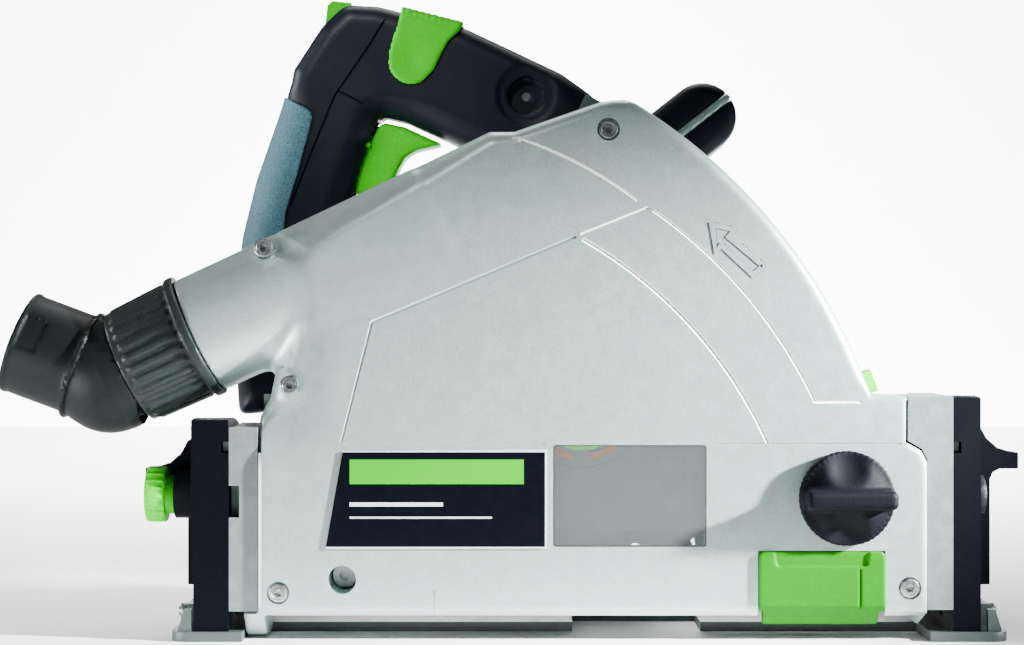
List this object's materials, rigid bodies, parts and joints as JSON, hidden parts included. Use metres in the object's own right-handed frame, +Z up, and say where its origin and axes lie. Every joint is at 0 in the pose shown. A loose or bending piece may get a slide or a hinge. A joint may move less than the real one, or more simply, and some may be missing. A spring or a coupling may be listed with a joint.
{
  "type": "track plunge saw",
  "caption": "Plunge-cut circular saw for a guide rail, with a tilting guard, a plunging motor head, a swivelling dust port and a depth stop.",
  "frame": {"origin": "middle of the length and width of the base plate, on the sole", "axes": "+X forwards along the cut, +Y from the blade side to the motor side, +Z up from the sole"},
  "size_m": [0.4279, 0.176, 0.2754],
  "materials": {
    "silver_paint": "fine metallic satin paint",
    "navy_plastic": "fine-grained satin",
    "green_plastic": "satin",
    "soft_rubber": "matt, grained",
    "black_plastic": "satin moulded",
    "steel": "turned and zinc plated",
    "blade_steel": "ground",
    "black_steel": "blackened",
    "brass": "plain",
    "copper": "turned",
    "clear_window": "clear polycarbonate",
    "dark_label": "printed plate",
    "circuit_board": "lacquered board"
  },
  "bodies": {
    "base": {"base_plate": "silver_paint", "glide_strips": "green_plastic", "front_segment": "navy_plastic", "rear_segment": "navy_plastic", "segment_screws": "steel", "clamp_bolts": "steel"},
    "rear_knob": {"rear_clamp_knob": "green_plastic"},
    "front_lever": {"front_stop_lever": "navy_plastic"},
    "rear_lever": {"rear_stop_lever": "navy_plastic"},
    "front_cam": {"front_rail_cam": "green_plastic"},
    "rear_cam": {"rear_rail_cam": "green_plastic"},
    "guard": {"guard_frame": "silver_paint", "blade_cover": "silver_paint", "cover_screws": "steel", "view_window": "clear_window", "name_plate": "dark_label", "pivot_shaft": "steel", "plunge_spring": "steel", "depth_scale": "steel"},
    "depth_slide": {"depth_stop": "green_plastic"},
    "depth_button": {"depth_stop_button": "navy_plastic"},
    "splinter": {"splinter_guard": "green_plastic", "splinter_carrier": "steel"},
    "splinter_clamp": {"splinter_knob": "navy_plastic"},
    "dust_connector": {"dust_collar": "black_plastic", "dust_elbow": "black_plastic"},
    "head": {"gear_housing": "silver_paint", "slot_shield": "steel", "riving_knife": "steel", "spindle_bearings": "steel", "rotor_bearings": "steel", "pivot_bushes": "brass", "stator": "black_steel", "brush_holders": "brass", "fan_baffle": "black_plastic", "motor_housing": "navy_plastic", "motor_end_cap": "navy_plastic", "handle_left": "navy_plastic", "handle_right": "navy_plastic", "handle_screws": "steel", "soft_grip": "soft_rubber", "switch_body": "black_plastic", "electronics_module": "circuit_board", "power_inlet": "black_plastic", "front_handle_frame": "silver_paint", "front_handle_shells": "navy_plastic"},
    "plunge_lock": {"lock_slider": "green_plastic"},
    "change_lever": {"release_lever": "green_plastic"},
    "switch_trigger": {"trigger": "green_plastic"},
    "dial": {"speed_dial": "green_plastic"},
    "blade_shaft": {"spindle": "steel", "saw_blade": "blade_steel", "inner_flange": "steel", "outer_flange": "steel", "blade_bolt": "black_steel", "drive_gear": "steel"},
    "rotor": {"pinion_shaft": "steel", "armature": "black_steel", "commutator": "copper", "fan": "black_plastic"}
  },
  "joints": [
    {"name": "bevel_tilt", "type": "hinge", "parent": "base", "child": "guard", "pos_m": [0, -0.067, 0], "axis": [1, 0, 0], "range_deg": [0, 45]},
    {"name": "plunge", "type": "hinge", "parent": "guard", "child": "head", "pos_m": [-0.1012, 0, 0.0253], "axis": [0, 1, 0], "range_deg": [0, 36.6], "stiffness_Nm_per_rad": 4, "springref_deg": -85.94},
    {"name": "blade_spin", "type": "hinge", "parent": "head", "child": "blade_shaft", "pos_m": [-0.00308, -0.067, 0.09764], "axis": [0, -1, 0], "continuous": true},
    {"name": "rotor_spin", "type": "hinge", "parent": "head", "child": "rotor", "pos_m": [-0.01115, 0, 0.12523], "axis": [0, -1, 0], "continuous": true},
    {"name": "plunge_lock_slide", "type": "slide", "parent": "head", "child": "plunge_lock", "axis": [0.9694, 0, -0.2456], "range_m": [0, 0.006], "stiffness_N_per_m": 600, "springref_m": -0.004},
    {"name": "change_lever_turn", "type": "hinge", "parent": "head", "child": "change_lever", "pos_m": [-0.097, 0.009, 0.246], "axis": [0, 1, 0], "range_deg": [0, 25], "stiffness_Nm_per_rad": 0.1, "springref_deg": -28.65},
    {"name": "trigger_pull", "type": "hinge", "parent": "head", "child": "switch_trigger", "pos_m": [-0.0946, -0.01, 0.208], "axis": [0, 1, 0], "range_deg": [0, 9], "stiffness_Nm_per_rad": 0.8, "springref_deg": -17.19},
    {"name": "dial_turn", "type": "hinge", "parent": "head", "child": "dial", "pos_m": [-0.084, 0.009, 0.119], "axis": [0, 1, 0], "range_deg": [-135, 135]},
    {"name": "splinter_slide", "type": "slide", "parent": "guard", "child": "splinter", "axis": [0, 0, -1], "range_m": [0, 0.0064]},
    {"name": "splinter_knob_turn", "type": "hinge", "parent": "splinter", "child": "splinter_clamp", "pos_m": [0.1044, -0.09, 0.0588], "axis": [0, 1, 0], "range_deg": [-90, 90]},
    {"name": "dust_swivel", "type": "hinge", "parent": "guard", "child": "dust_connector", "pos_m": [-0.1627, -0.0543, 0.1256], "axis": [-0.9048, 0, -0.4258], "continuous": true},
    {"name": "depth_stop_slide", "type": "hinge", "parent": "guard", "child": "depth_slide", "pos_m": [-0.1012, 0, 0.0253], "axis": [0, 1, 0], "range_deg": [-32, 0]},
    {"name": "depth_button_press", "type": "slide", "parent": "depth_slide", "child": "depth_button", "axis": [0, -1, 0], "range_m": [0, 0.0015], "stiffness_N_per_m": 800, "springref_m": -0.002},
    {"name": "rear_knob_turn", "type": "hinge", "parent": "base", "child": "rear_knob", "pos_m": [-0.18, -0.064, 0.059], "axis": [1, 0, 0], "range_deg": [-60, 60]},
    {"name": "front_lever_turn", "type": "hinge", "parent": "base", "child": "front_lever", "pos_m": [0.162, -0.046, 0.03], "axis": [1, 0, 0], "range_deg": [-12, 0]},
    {"name": "rear_lever_turn", "type": "hinge", "parent": "base", "child": "rear_lever", "pos_m": [-0.165, -0.046, 0.03], "axis": [1, 0, 0], "range_deg": [-12, 0]},
    {"name": "front_cam_turn", "type": "hinge", "parent": "base", "child": "front_cam", "pos_m": [0.126, 0.0132, 0.01], "axis": [0, 0, 1], "range_deg": [-90, 90]},
    {"name": "rear_cam_turn", "type": "hinge", "parent": "base", "child": "rear_cam", "pos_m": [-0.126, 0.0132, 0.01], "axis": [0, 0, 1], "range_deg": [-90, 90]}
  ],
  "couplings": [
    {"joint": "rotor_spin", "follows": "blade_spin", "ratio": -2.2857}
  ]
}
